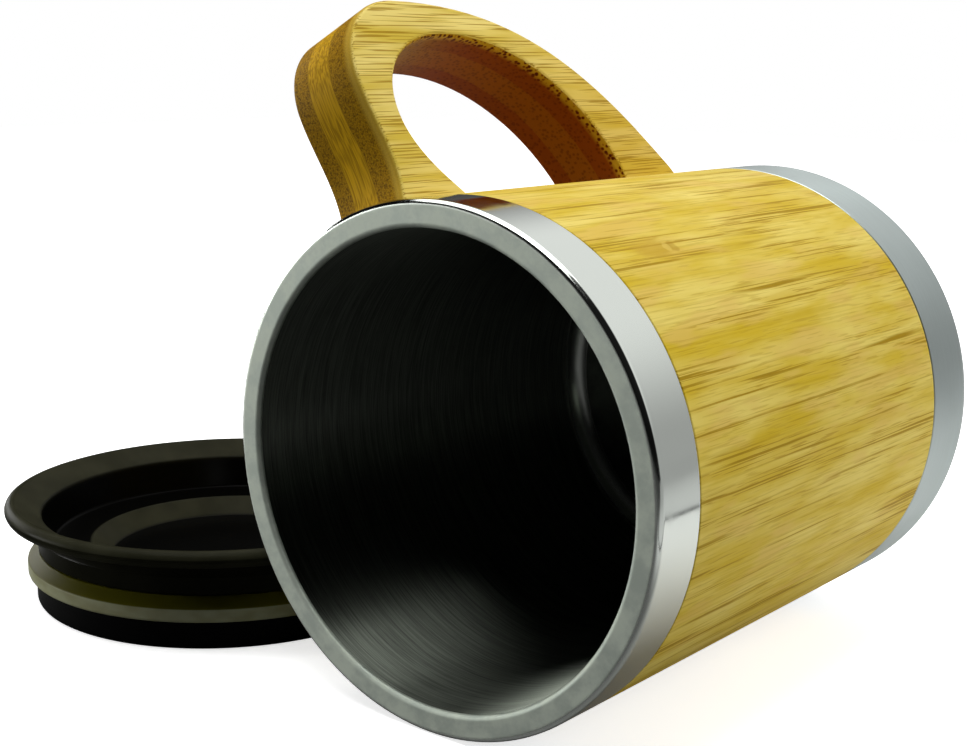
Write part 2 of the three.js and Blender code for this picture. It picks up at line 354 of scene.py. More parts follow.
def handle_inside():
    """From the rear foot round the finger hole to the front foot."""
    sleeve, waist = cup_radius, cup_radius + STEM_WAIST
    hole_crest = cup_radius + HANDLE_REACH - CREST_BAR
    heel = HANDLE_LENGTH - REAR_FOOT
    points = [Vector((heel, sleeve))]
    points += bezier(
        points[-1],
        Vector((heel - HEEL_SWEEP, sleeve + REAR_RISE)),
        Vector((CREST_INSIDE + OVAL_PULL * (heel - CREST_INSIDE), hole_crest)),
        Vector((CREST_INSIDE, hole_crest)),
    )
    points += bezier(
        points[-1],
        Vector((CREST_INSIDE - OVAL_PULL * (CREST_INSIDE - STEM_BAR), hole_crest)),
        Vector((STEM_BAR, waist + OVAL_PULL * (hole_crest - waist))),
        Vector((STEM_BAR, waist)),
    )
    points += bezier(
        points[-1],
        Vector((STEM_BAR, waist - OVAL_PULL * (STEM_WAIST - TOE_RISE))),
        Vector((FRONT_FOOT - TOE_SWEEP, sleeve + TOE_RISE)),
        Vector((FRONT_FOOT, sleeve)),
    )
    return points


def board_profile():
    """[inset, height] across the board: from one flat side over both arrises to the other."""
    half = HANDLE_THICKNESS / 2
    side = []
    for k in range(CORNER_STEPS + 1):
        angle = QUARTER_TURN * k / CORNER_STEPS
        inset = HANDLE_ARRIS * (1 - math.sin(angle))
        side.append((inset, half - HANDLE_ARRIS * (1 - math.cos(angle))))
    return side + [(0, 0)] + [(inset, -height) for inset, height in reversed(side)]


def on_foot(point):
    """True for the corners of the outline that stand on the sleeve."""
    return abs(point.y - cup_radius) < TOUCHING


def inward(points, i):
    """Unit direction into the board at a point of its outline, or along the sleeve at a foot."""
    before, here, after = points[i - 1], points[i], points[(i + 1) % len(points)]
    if on_foot(here):
        other = before if on_foot(before) else after
        return Vector((math.copysign(1, other.x - here.x), 0))
    run = after - before
    return Vector((run.y, -run.x)).normalized()


def on_sleeve(across):
    """Height of a foot's underside, which sinks a little into the cup's round outside."""
    return math.sqrt(cup_radius**2 - across**2) - FOOT_SINK


def handle():
    """The board is a stack of insets of its outline, and its feet follow the sleeve's curve.

    The attribute routed is 1 for the points of the finger hole.
    """
    outside, inside = handle_outside(), handle_inside()
    points = outside + inside
    in_hole = [0.0] * len(outside) + [1.0] * len(inside)
    profile = board_profile()
    count, layers = len(points), len(profile)
    vertices, routed = [], []
    for inset, across in profile:
        for i, point in enumerate(points):
            moved = point + inward(points, i) * inset
            out = on_sleeve(across) if on_foot(point) else moved.y
            vertices.append((moved.x, out, across))
            routed.append(in_hole[i])
    faces = []
    for layer in range(layers - 1):
        low, high = layer * count, (layer + 1) * count
        for i in range(count):
            after = (i + 1) % count
            faces.append([low + i, high + i, high + after, low + after])
    faces.append(list(range(count)))
    faces.append(list(range(layers * count - 1, (layers - 1) * count - 1, -1)))
    piece = make_object("handle_fine", vertices, faces, GRIP_PLACE)
    attribute = piece.data.attributes.new("routed", "FLOAT", "POINT")
    attribute.data.foreach_set("value", routed)
    return piece


# Lid pieces

def lid_dish():
    top = dish_high.z
    flange = (dish_high.x - dish_low.x) / 2
    under = top - FLANGE_EDGE
    well_floor = top - WELL_DEPTH
    recess_floor = well_floor - RECESS_DEPTH
    neck_bottom = seal_high.z + SEAM
    skirt_end = PLUG_FLOOR + SEAM
    bead = (neck_bottom + under) / 2
    return turned("lid_dish_fine", [
        (0, recess_floor - LID_WALL, 0),
        (RECESS_FLOOR_RADIUS, recess_floor - LID_WALL, UNDERSIDE_ROUND),
        (RECESS_RADIUS, well_floor - LID_WALL, UNDERSIDE_ROUND),
        (SKIRT_RADIUS - LID_WALL, well_floor - LID_WALL, UNDERSIDE_CORNER),
        (SKIRT_RADIUS - LID_WALL, skirt_end, SKIRT_ROUND),
        (SKIRT_RADIUS, skirt_end, SKIRT_ROUND),
        (SKIRT_RADIUS, neck_bottom, SKIRT_ROUND),
        (NECK_RADIUS, neck_bottom, NECK_ROUND),
        (NECK_RADIUS, bead - 2 * NECK_BEAD, 0),
        (NECK_RADIUS + NECK_BEAD, bead, 0),
        (NECK_RADIUS, bead + 2 * NECK_BEAD, 0),
        (NECK_RADIUS, under, FLANGE_ROOT),
        (flange, under, FLANGE_ROUND),
        (flange, top, FLANGE_ROUND),
        (flange - FLANGE_SHOULDER, top, FLANGE_CREST),
        (WELL_RADIUS, top - WELL_EDGE_DROP, WELL_EDGE_ROUND),
        (WELL_FLOOR_RADIUS, well_floor, WELL_CORNER),
        (RECESS_RADIUS, well_floor, RECESS_ROUND),
        (RECESS_FLOOR_RADIUS, recess_floor, RECESS_ROUND),
        (0, recess_floor, 0),
    ], LID_PLACE)


def lid_seal():
    outside = (seal_high.x - seal_low.x) / 2
    inside = SKIRT_RADIUS + SEAM
    bottom, top = plug_high.z + SEAM, seal_high.z
    return turned("lid_seal_fine", [
        (inside, bottom, SEAL_INNER_ROUND),
        (outside, bottom, SEAL_ROUND),
        (outside, bottom + SEAL_RIM, SEAL_ROUND),
        (NECK_RADIUS, top, SEAL_TOP_ROUND),
        (inside, top, SEAL_INNER_ROUND),
    ], LID_PLACE, closed=True)


def lid_plug():
    outside = (plug_high.x - plug_low.x) / 2
    inside = SKIRT_RADIUS + SEAM
    return turned("lid_plug_fine", [
        (0, 0, 0),
        (outside, 0, PLUG_FOOT_ROUND),
        (outside, plug_high.z, PLUG_ROUND),
        (inside, plug_high.z, PLUG_BRIM_ROUND),
        (inside, PLUG_FLOOR, PLUG_ROUND),
        (0, PLUG_FLOOR, 0),
    ], LID_PLACE)


# Material helpers

class Nodes:
    """The node tree of a material or world, with short calls for the nodes that the looks use."""

    def __init__(self, owner):
        owner.use_nodes = True
        self.owner = owner
        self.tree = owner.node_tree

    @classmethod
    def of_material(cls, name):
        return cls(bpy.data.materials.new(name))

    def add(self, kind, inputs=None, **settings):
        made = self.tree.nodes.new(kind)
        for key, value in settings.items():
            setattr(made, key, value)
        for key, value in (inputs or {}).items():
            self.put(made.inputs[key], value)
        return made

    def put(self, socket, value):
        if isinstance(value, bpy.types.NodeSocket):
            self.tree.links.new(value, socket)
        else:
            socket.default_value = value

    def surface(self, **inputs):
        """Sets the shader's own sockets; an underscore in a name stands for a space."""
        shader = self.tree.nodes["Principled BSDF"]
        for key, value in inputs.items():
            self.put(shader.inputs[key.replace("_", " ")], value)
        return self.owner

    def place(self):
        return self.add("ShaderNodeTexCoord").outputs["Object"]

    def normal(self):
        return self.add("ShaderNodeTexCoord").outputs["Normal"]

    def part(self, vector, axis):
        return self.add("ShaderNodeSeparateXYZ", {"Vector": vector}).outputs[axis]

    def vector(self, operation, a, b):
        return self.add("ShaderNodeVectorMath", {0: a, 1: b}, operation=operation).outputs[0]

    def length(self, vector):
        return self.add("ShaderNodeVectorMath", {0: vector}, operation="LENGTH").outputs["Value"]

    def off_axis(self, place):
        """Distance from the Z axis."""
        return self.length(self.vector("MULTIPLY", place, (1, 1, 0)))

    def math(self, operation, a, b=0.0):
        return self.add("ShaderNodeMath", {0: a, 1: b}, operation=operation).outputs[0]

    def times(self, a, b):
        return self.math("MULTIPLY", a, b)

    def most(self, a, b):
        return self.math("MAXIMUM", a, b)

    def other(self, mask):
        """What a mask leaves out."""
        return self.math("SUBTRACT", 1.0, mask)

    def stretched(self, vector, sizes):
        """Coordinates in units of the given sizes along X, Y and Z."""
        scale = tuple(1 / size for size in sizes)
        return self.add("ShaderNodeMapping", {"Vector": vector, "Scale": scale}).outputs[0]

    def noise(self, vector, detail=2.0, roughness=0.5, distortion=0.0):
        inputs = {
            "Vector": vector,
            "Scale": 1.0,
            "Detail": detail,
            "Roughness": roughness,
            "Distortion": distortion,
        }
        return self.add("ShaderNodeTexNoise", inputs).outputs["Fac"]

    def streaks(self, place, sizes, **settings):
        """Noise with one size across and one along Z."""
        across, along = sizes
        return self.noise(self.stretched(place, (across, across, along)), **settings)

    def clouds(self, place, size, **settings):
        """Noise of one size every way."""
        return self.streaks(place, (size, size), **settings)

    def cells(self, vector):
        inputs = {"Vector": vector, "Scale": 1.0}
        return self.add("ShaderNodeTexVoronoi", inputs).outputs["Distance"]

    def ramp(self, value, low, high, out_low=0.0, out_high=1.0):
        """A smooth step from one value to another."""
        inputs = {
            "Value": value,
            "From Min": low,
            "From Max": high,
            "To Min": out_low,
            "To Max": out_high,
        }
        made = self.add("ShaderNodeMapRange", inputs, interpolation_type="SMOOTHSTEP")
        return made.outputs["Result"]

    def blend(self, factor, a, b):
        """A number between two others."""
        inputs = {"Value": factor, "To Min": a, "To Max": b}
        return self.add("ShaderNodeMapRange", inputs).outputs["Result"]

    def between(self, kind, factor, a, b):
        made = self.add("ShaderNodeMix", {"Factor": factor}, data_type=kind)
        for key, value in (("A", a), ("B", b)):
            socket = next(s for s in made.inputs if s.name == key and s.type == kind)
            self.put(socket, value)
        return next(s for s in made.outputs if s.type == kind)

    def mix(self, factor, a, b):
        """A colour between two others."""
        return self.between("RGBA", factor, a, b)

    def mix_vector(self, factor, a, b):
        return self.between("VECTOR", factor, a, b)

    def bump(self, height, strength, distance):
        inputs = {"Height": height, "Strength": strength, "Distance": distance}
        return self.add("ShaderNodeBump", inputs).outputs["Normal"]


def colour(red, green, blue):
    return (red, green, blue, 1.0)


# In the values of the finishes, a _STEP is where a mask starts and is full, a _SHARE is how far it
# covers, a _ROUGH is the roughness from and to, and a _RELIEF is a bump's strength and height. Sizes
# of streaks are across the piece's axis and along it.

# Sleeve

SLEEVE_TONE = (5 * MM, 24 * MM)
SLEEVE_FLUSH = (4 * MM, 16 * MM)
SLEEVE_BUNDLE = (2.3 * MM, 42 * MM)
SLEEVE_LINE = (0.4 * MM, 40 * MM)
SLEEVE_FIBRE = (0.36 * MM, 7 * MM)
LINE_WAVER = 0.12
TONE_STEP = (0.28, 0.72)
FLUSH_STEP = (0.5, 0.68)
BUNDLE_STEP = (0.5, 0.62)
LINE_STEP = (0.54, 0.58)
FIBRE_STEP = (0.58, 0.66)
FLUSH_SHARE = 0.6
BUNDLE_SHARE = 0.4
LINE_SHARE_OUTSIDE, LINE_SHARE_IN_BUNDLE = 0.15, 0.95
FIBRE_SHARE_OUTSIDE, FIBRE_SHARE_IN_BUNDLE = 0.3, 0.6
SLEEVE_KHAKI = colour(0.6, 0.42, 0.015)
SLEEVE_GOLDEN = colour(0.75, 0.6, 0.14)
SLEEVE_FLUSHED = colour(0.68, 0.465, 0.11)
SLEEVE_WARM = colour(0.54, 0.355, 0.012)
SLEEVE_LINE_DARK = colour(0.35, 0.215, 0.002)
SLEEVE_FIBRE_DARK = colour(0.4, 0.24, 0.008)
SLEEVE_ROUGH_STEP = (0.3, 0.8)
SLEEVE_ROUGH = (0.45, 0.58)
SLEEVE_SHINE = 0.08
SLEEVE_RELIEF = (0.1, 0.12 * MM)

# Ovals of the knot: half width, half length, and how far it lies from the knot's place
KNOT_PATCH = (3.2 * MM, 9 * MM, 3 * MM)
KNOT_NOTCH = (1.5 * MM, 1.1 * MM, 0)
KNOT_BORDER = (1.7 * MM, 1.5 * MM, -1.6 * MM)
KNOT_FRAY = (1.5 * MM, 5 * MM)
KNOT_FRAYED = 1.2
KNOT_PATCH_STEP = (1.0, 0.3)
KNOT_STEP = (1.0, 0.6)
KNOT_PATCH_SHARE = 0.7
KNOT_SHARE = 0.4
KNOT_TAN = colour(0.5, 0.31, 0.025)
KNOT_DARK = colour(0.36, 0.2, 0.006)
KNOT_PALE = colour(0.72, 0.54, 0.12)


def knot_masks(n, place):
    """Masks of the knot near the collar: a tan patch, a pale notch, and the notch's dark border."""
    angle = n.math("ARCTAN2", n.part(place, "Y"), n.part(place, "X"))
    across = n.times(n.math("SUBTRACT", angle, KNOT_ANGLE), cup_radius)
    along = n.math("SUBTRACT", n.part(place, "Z"), KNOT_HEIGHT)
    spot = n.add("ShaderNodeCombineXYZ", {"X": across, "Y": along}).outputs[0]
    fray = n.math("SUBTRACT", n.streaks(place, KNOT_FRAY, detail=3), 0.5)
    frayed = n.times(fray, KNOT_FRAYED)

    def oval(wide, long, shift):
        moved = n.vector("SUBTRACT", spot, (0, shift, 0))
        return n.math("ADD", n.length(n.stretched(moved, (wide, long, 1))), frayed)

    patch = n.ramp(oval(*KNOT_PATCH), *KNOT_PATCH_STEP)
    notch = n.ramp(oval(*KNOT_NOTCH), *KNOT_STEP)
    border = n.ramp(oval(*KNOT_BORDER), *KNOT_STEP)
    return patch, notch, border


def sleeve_grain(n, place, line):
    """Khaki and golden ground with warm bundles, and dark lines and short fibres mostly in them."""
    tone = n.streaks(place, SLEEVE_TONE, detail=3)
    flush = n.streaks(place, SLEEVE_FLUSH, detail=2)
    bundle = n.ramp(n.streaks(place, SLEEVE_BUNDLE, detail=2), *BUNDLE_STEP)
    fibre = n.streaks(place, SLEEVE_FIBRE, detail=1)
    golden = n.mix(n.ramp(tone, *TONE_STEP), SLEEVE_KHAKI, SLEEVE_GOLDEN)
    ground = n.mix(n.ramp(flush, *FLUSH_STEP, 0.0, FLUSH_SHARE), golden, SLEEVE_FLUSHED)
    warm = n.mix(n.times(bundle, BUNDLE_SHARE), ground, SLEEVE_WARM)
    line_share = n.blend(bundle, LINE_SHARE_OUTSIDE, LINE_SHARE_IN_BUNDLE)
    lined = n.mix(n.times(n.ramp(line, *LINE_STEP), line_share), warm, SLEEVE_LINE_DARK)
    fibre_share = n.blend(bundle, FIBRE_SHARE_OUTSIDE, FIBRE_SHARE_IN_BUNDLE)
    return n.mix(n.times(n.ramp(fibre, *FIBRE_STEP), fibre_share), lined, SLEEVE_FIBRE_DARK)


def sleeve_bamboo():
    """Bamboo with its grain along the cup, and one knot."""
    n = Nodes.of_material("sleeve bamboo")
    place = n.place()
    line = n.streaks(place, SLEEVE_LINE, detail=1, distortion=LINE_WAVER)
    patch, notch, border = knot_masks(n, place)
    tanned = n.mix(n.times(patch, KNOT_PATCH_SHARE), sleeve_grain(n, place, line), KNOT_TAN)
    bordered = n.mix(n.times(border, KNOT_SHARE), tanned, KNOT_DARK)
    return n.surface(
        Base_Color=n.mix(n.times(notch, KNOT_SHARE), bordered, KNOT_PALE),
        Roughness=n.ramp(line, *SLEEVE_ROUGH_STEP, *SLEEVE_ROUGH),
        Specular_IOR_Level=SLEEVE_SHINE,
        Normal=n.bump(line, *SLEEVE_RELIEF),
    )


# Handle

# Border between two plies: its waver's size and height, and half the border's width
PLY_WAVER_SIZE = 6 * MM
PLY_WAVER = 0.8 * MM
PLY_BORDER = 0.1 * MM
# Size of the grain along the cup, outwards and across the board
OUTER_GRAIN = (45 * MM, 1 * MM, 1 * MM)
MIDDLE_GRAIN = (1 * MM, 40 * MM, 1 * MM)
# Sizes in units of the grain
BOARD_TONE = (0.6, 3, 3)
BOARD_LINE = (0.4, 0.28, 0.28)
BOARD_FIBRE_ENDS = (0.55, 0.55, 0.55)
PORES = (0.8 * MM, 0.8 * MM, 0.8 * MM)

BOARD_TONE_STEP = (0.3, 0.7)
BOARD_LINE_STEP = (0.55, 0.61)
BOARD_LINE_SHARE = 0.75
REAR_STEP = (0.4 * HANDLE_LENGTH, 0.9 * HANDLE_LENGTH)
REAR_SHARE = 0.55
BOARD_KHAKI = colour(0.64, 0.47, 0.06)
BOARD_PALE = colour(0.82, 0.66, 0.2)
BOARD_REAR = colour(0.6, 0.365, 0.025)
BOARD_LINE_DARK = colour(0.32, 0.175, 0.005)

# The cut edges, by how far the surface turns from the board's flat side
EDGE_STEP = (0.85, 0.35)
EDGE_LINE_STEP = (0.35, 0.65)
OUTER_EDGE, OUTER_EDGE_DARK = colour(0.35, 0.19, 0.002), colour(0.21, 0.1, 0.001)
MIDDLE_EDGE, MIDDLE_EDGE_DARK = colour(0.53, 0.3, 0.004), colour(0.3, 0.16, 0.002)
FIBRE_END_STEP = (0.5, 0.25)
FIBRE_ENDS_NEAR, FIBRE_ENDS_INSIDE = 0.1, 0.55
FIBRE_ENDS_MIDDLE, FIBRE_ENDS_FAR = 0.1, 0.7
FIBRE_END_DARK = colour(0.07, 0.03, 0.001)

# The finger hole's inside, darker and redder than the other cut edges: painted shade
HOLE_STEP = (0.1, 0.6)
PORE_STEP = (0.5, 0.2)
PORES_INSIDE, PORES_NEAR = 0.45, 0.9
CREST_STEP = (0.45 * HANDLE_LENGTH, 0.15 * HANDLE_LENGTH)
HOLE_SHADE_OUTER = colour(0.21, 0.044, 0.002)
HOLE_SHADE_MIDDLE = colour(0.25, 0.072, 0.003)
HOLE_SHADE_CREST = colour(0.29, 0.15, 0.008)
PORE_DARK = colour(0.06, 0.01, 0.0006)

# The painted highlight on the arris of the near side, by the height over the board's middle
BOARD_HALF = HANDLE_THICKNESS / 2
NEAR_SIDE_STEP = (BOARD_HALF - 2.6 * MM, BOARD_HALF - 0.8 * MM)
ARRIS_STEP = (BOARD_HALF - 2.4 * MM, BOARD_HALF - 0.8 * MM)
ARRIS_EDGE_STEP = (0.02, 0.3)
ARRIS_HIGHLIGHT_SHARE = 0.6
SPECK_STEP = (0.35, 0.6)
ARRIS_HIGHLIGHT = colour(0.56, 0.38, 0.05)
SPECK_PALE = colour(0.45, 0.26, 0.015)

BOARD_ROUGH_STEP = (0.3, 0.8)
BOARD_ROUGH = (0.5, 0.62)
BOARD_SHINE = 0.03
BOARD_RELIEF = (0.12, 0.12 * MM)


def middle_ply(n, place):
    """Mask of the board's middle ply; its borders waver a little."""
    waver = n.times(n.clouds(place, PLY_WAVER_SIZE, detail=1), PLY_WAVER)
    level = n.math("ADD", n.part(place, "Z"), waver)
    near = BOARD_HALF - NEAR_PLY + PLY_WAVER / 2
    far = FAR_PLY - BOARD_HALF + PLY_WAVER / 2
    below_near = n.ramp(level, near + PLY_BORDER, near - PLY_BORDER)
    above_far = n.ramp(level, far - PLY_BORDER, far + PLY_BORDER)
    return n.times(below_near, above_far)


def board_face(n, place, grain, line):
    """The flat sides: pale, darker towards the rear, with brown lines."""
    tone = n.noise(n.stretched(grain, BOARD_TONE), detail=2)
    pale = n.mix(n.ramp(tone, *BOARD_TONE_STEP), BOARD_KHAKI, BOARD_PALE)
    ground = n.mix(n.ramp(n.part(place, "X"), *REAR_STEP, 0.0, REAR_SHARE), pale, BOARD_REAR)
    return n.mix(n.ramp(line, *BOARD_LINE_STEP, 0.0, BOARD_LINE_SHARE), ground, BOARD_LINE_DARK)


def board_edge(n, line, middle):
    """The cut edges: brown, and lighter on the middle ply."""
    lines = n.ramp(line, *EDGE_LINE_STEP)
    outer = n.mix(lines, OUTER_EDGE, OUTER_EDGE_DARK)
    return n.mix(middle, outer, n.mix(lines, MIDDLE_EDGE, MIDDLE_EDGE_DARK))


def fibre_ends(n, grain, depth, near_side):
    """Mask of the dark fibre ends, which stand closer towards the board's far side."""
    dots = n.ramp(n.cells(n.stretched(grain, BOARD_FIBRE_ENDS)), *FIBRE_END_STEP)
    inside = n.blend(near_side, FIBRE_ENDS_INSIDE, FIBRE_ENDS_NEAR)
    far = n.ramp(depth, 0, -BOARD_HALF, FIBRE_ENDS_MIDDLE, FIBRE_ENDS_FAR)
    return n.times(dots, n.most(inside, far))


def hole_painted_shade(n, place, middle, near_side, pores):
    """The finger hole's inside: dark reddish as painted shade, lighter brown under the crest, with dark
    pores.
    """
    reddish = n.mix(middle, HOLE_SHADE_OUTER, HOLE_SHADE_MIDDLE)
    browned = n.mix(n.ramp(n.part(place, "X"), *CREST_STEP), reddish, HOLE_SHADE_CREST)
    pitted = n.times(n.ramp(pores, *PORE_STEP), n.blend(near_side, PORES_INSIDE, PORES_NEAR))
    return n.mix(pitted, browned, PORE_DARK)


def handle_bamboo():
    """Three plies: the outer ones have their grain along the cup, and the middle one has it outwards."""
    n = Nodes.of_material("handle bamboo")
    place = n.place()
    depth = n.part(place, "Z")
    routed = n.add("ShaderNodeAttribute", attribute_name="routed").outputs["Fac"]
    middle = middle_ply(n, place)
    grain = n.mix_vector(middle, n.stretched(place, OUTER_GRAIN), n.stretched(place, MIDDLE_GRAIN))
    line = n.noise(n.stretched(grain, BOARD_LINE), detail=1)
    pores = n.cells(n.stretched(place, PORES))
    near_side = n.ramp(depth, *NEAR_SIDE_STEP)
    edge = n.ramp(n.math("ABSOLUTE", n.part(n.normal(), "Z")), *EDGE_STEP)
    arris = n.times(n.ramp(depth, *ARRIS_STEP), n.ramp(edge, *ARRIS_EDGE_STEP))

    sawn = n.mix(edge, board_face(n, place, grain, line), board_edge(n, line, middle))
    ends = n.times(fibre_ends(n, grain, depth, near_side), n.times(edge, n.other(middle)))
    dotted = n.mix(ends, sawn, FIBRE_END_DARK)
    hole = n.times(routed, n.ramp(edge, *HOLE_STEP))
    # Painted shade: the finger hole's inside takes a dark reddish colour
    hole_shaded = n.mix(hole, dotted, hole_painted_shade(n, place, middle, near_side, pores))
    # Painted highlight: the near arris outside the finger hole turns pale
    arris_highlight = n.times(n.times(arris, n.other(routed)), ARRIS_HIGHLIGHT_SHARE)
    highlit = n.mix(arris_highlight, hole_shaded, ARRIS_HIGHLIGHT)
    specks = n.times(n.times(arris, routed), n.ramp(pores, *SPECK_STEP))
    return n.surface(
        Base_Color=n.mix(specks, highlit, SPECK_PALE),
        Roughness=n.ramp(line, *BOARD_ROUGH_STEP, *BOARD_ROUGH),
        Specular_IOR_Level=BOARD_SHINE,
        Normal=n.bump(line, *BOARD_RELIEF),
    )


# Steel

WAVE_SIZE = 14 * MM
WAVE_RELIEF = (0.1, 1 * MM)
MARK_SIZE = 5 * MM
MARK_BREAKUP = 0.65
LIP_TINT_STEP = (0.35, 0.65)
LIP_ROUGH_STEP = (0.35, 0.7)
LIP_ROUGH = (0.68, 0.78)
BAND_ROUGH_STEP = (0.35, 0.75)
BAND_ROUGH = (0.08, 0.14)
BAND_TINT = colour(0.73, 0.77, 0.72)
LIP_TINT_DARK = colour(0.5, 0.55, 0.49)
LIP_TINT = colour(0.64, 0.69, 0.61)

BRUSH_LINE = (14 * MM, 0.25 * MM)
BRUSH_BREAKUP = 0.7
BRUSH_CLOUD = 16 * MM
BRUSH_STEP = (0.3, 0.7)
BRUSH_SMOOTHER, BRUSH_ROUGHER = -0.03, 0.05
BRUSH_BUMP = 0.6
BRUSH_HEIGHT = 0.05 * MM
ROUND_THE_AXIS = 0.25
# Painted highlight on the bore floor's rounded corner: a bright, smoother steel amid the darkened liner
CORNER_HIGHLIGHT_TINT = colour(0.6, 0.63, 0.58)
CORNER_ROUGHNESS = 0.2
FLOOR_CORNER_START = BORE_RADIUS - BORE_DRAFT - FLOOR_FILLET
FLOOR_CORNER_STEP = (FLOOR_CORNER_START - 0.2 * MM, FLOOR_CORNER_START + 0.3 * MM)
FLOOR_CORNER_TOP_STEP = (bore_floor + FLOOR_FILLET, bore_floor + 0.6 * FLOOR_FILLET)


def polished_steel():
    """Mirror-bright band that turns satin and mottled on the flat lip, with faint waves."""
    n = Nodes.of_material("polished steel")
    place = n.place()
    flat = n.ramp(n.off_axis(place), cup_radius - 0.5 * LIP_FILLET, cup_radius - LIP_FILLET)
    waves = n.clouds(place, WAVE_SIZE, detail=1)
    marks = n.clouds(place, MARK_SIZE, detail=4, roughness=MARK_BREAKUP)
    mottled = n.mix(n.ramp(marks, *LIP_TINT_STEP), LIP_TINT_DARK, LIP_TINT)
    satin = n.ramp(marks, *LIP_ROUGH_STEP, *LIP_ROUGH)
    mirror = n.ramp(marks, *BAND_ROUGH_STEP, *BAND_ROUGH)
    return n.surface(
        Base_Color=n.mix(flat, BAND_TINT, mottled),
        Metallic=1.0,
        Roughness=n.blend(flat, mirror, satin),
        Normal=n.bump(waves, *WAVE_RELIEF),
    )


def floor_corner(n, place):
    """Mask of the rounded corner round the bore's floor."""
    out = n.ramp(n.off_axis(place), *FLOOR_CORNER_STEP)
    return n.times(out, n.ramp(n.part(place, "Z"), *FLOOR_CORNER_TOP_STEP))


def brushed_steel(name, tint, roughness, streaks, stretch=1.0, bright=None):
    """Steel brushed round its axis.

    streaks is how far single lines stand out, stretch how long highlights get, and bright makes a
    mask of a place that gets a bright, smoother steel instead: a painted highlight.
    """
    n = Nodes.of_material(name)
    place = n.place()
    lines = n.streaks(place, BRUSH_LINE, detail=4, roughness=BRUSH_BREAKUP)
    cloud = n.clouds(place, BRUSH_CLOUD, detail=2)
    low = colour(*[(1 - streaks) * v for v in tint])
    high = colour(*[(1 + streaks) * v for v in tint])
    shade = n.mix(n.ramp(lines, *BRUSH_STEP), low, high)
    matt = n.ramp(cloud, *BRUSH_STEP, roughness + BRUSH_SMOOTHER, roughness + BRUSH_ROUGHER)
    if bright:
        highlight_mask = bright(n, place)
        shade = n.mix(highlight_mask, shade, CORNER_HIGHLIGHT_TINT)
        matt = n.blend(highlight_mask, matt, CORNER_ROUGHNESS)
    return n.surface(
        Base_Color=shade,
        Metallic=1.0,
        Roughness=matt,
        Anisotropic=stretch,
        Anisotropic_Rotation=ROUND_THE_AXIS,
        Tangent=n.add("ShaderNodeTangent", direction_type="RADIAL", axis="Z").outputs[0],
        Normal=n.bump(lines, BRUSH_BUMP * streaks, BRUSH_HEIGHT),
    )


# Plastic and silicone

# How far the painted sheen fades over its border, inwards and outwards
PAINTED_SHEEN_IN, PAINTED_SHEEN_OUT = 0.3 * MM, 0.6 * MM
# The neck gets less of the painted sheen; the change takes this height below the flange
NECK_FADE = 1 * MM
NECK_SHARE = 0.5
SHEEN_MOTTLE_SIZE = 9 * MM
SHEEN_MOTTLE_STEP = (0.35, 0.7)
SATIN_ROUGH_STEP = (0.3, 0.7)
SATIN_ROUGH = (0.3, 0.38)
LID_BLACK = colour(0.001, 0.001, 0.0008)
# Two tones of the painted sheen, a lighter colour in place of the shine on the slopes
LID_PAINTED_SHEEN_DARK = colour(0.018, 0.018, 0.01)
LID_PAINTED_SHEEN = colour(0.026, 0.026, 0.015)
LID_ROUGHNESS = 0.24
LID_SHINE = 0.015
LID_SKIN = 0.35 * MM

PLUG_SKIN = 0.4 * MM
PLUG_BLACK = colour(0.001, 0.001, 0.001)
PLUG_ROUGH_STEP = (0.3, 0.7)
PLUG_ROUGH = (0.36, 0.44)
PLUG_SHINE = 0.05
SKIN_RELIEF = (0.04, 0.1 * MM)

MILK_SIZE = (6 * MM, 3 * MM)
MILK_STEP = (0.3, 0.7)
MILK_DARK = colour(0.3, 0.3, 0.17)
MILK = colour(0.37, 0.38, 0.24)
SEAL_TOP_STEP = (0.2, 0.6)
# Yellow of the upward face, darkened as painted shade from the flange above
SEAL_SHADED_YELLOW = colour(0.085, 0.08, 0.002)
SEAL_ROUGHNESS = 0.42
SEAL_SHINE = 0.04
SEAL_DEPTH = 1.5 * MM
SEAL_DEPTH_SHARE = 0.25
SEAL_DEPTH_BY_COLOUR = (1.0, 0.9, 0.5)


def lid_plastic():
    """Black moulded plastic; on the flange and on the recess's slope a greyish colour is a painted
    sheen, and there it is a rougher satin.
    """
    n = Nodes.of_material("lid plastic")
    place = n.place()
    radius = n.off_axis(place)

    def outside_of(border):
        return n.ramp(radius, border - PAINTED_SHEEN_IN, border + PAINTED_SHEEN_OUT)

    inside_recess = n.ramp(radius, RECESS_RADIUS + PAINTED_SHEEN_OUT, RECESS_RADIUS - PAINTED_SHEEN_IN)
    slope = n.times(outside_of(RECESS_FLOOR_RADIUS), inside_recess)
    under = dish_high.z - FLANGE_EDGE
    fade = n.ramp(n.part(place, "Z"), under - NECK_FADE, under, NECK_SHARE, 1.0)
    # Painted sheen: the flange, the neck less, and the recess's slope get a lighter colour; satin is
    # that colour
    painted_sheen_and_satin = n.most(n.times(outside_of(WELL_RADIUS), fade), slope)
    sheen_mottle = n.clouds(place, SHEEN_MOTTLE_SIZE, detail=3)
    satin = n.mix(n.ramp(sheen_mottle, *SHEEN_MOTTLE_STEP), LID_PAINTED_SHEEN_DARK, LID_PAINTED_SHEEN)
    return n.surface(
        Base_Color=n.mix(painted_sheen_and_satin, LID_BLACK, satin),
        Roughness=n.blend(painted_sheen_and_satin, LID_ROUGHNESS, n.ramp(sheen_mottle, *SATIN_ROUGH_STEP, *SATIN_ROUGH)),
        Specular_IOR_Level=LID_SHINE,
        Normal=n.bump(n.clouds(place, LID_SKIN, detail=2), *SKIN_RELIEF),
    )


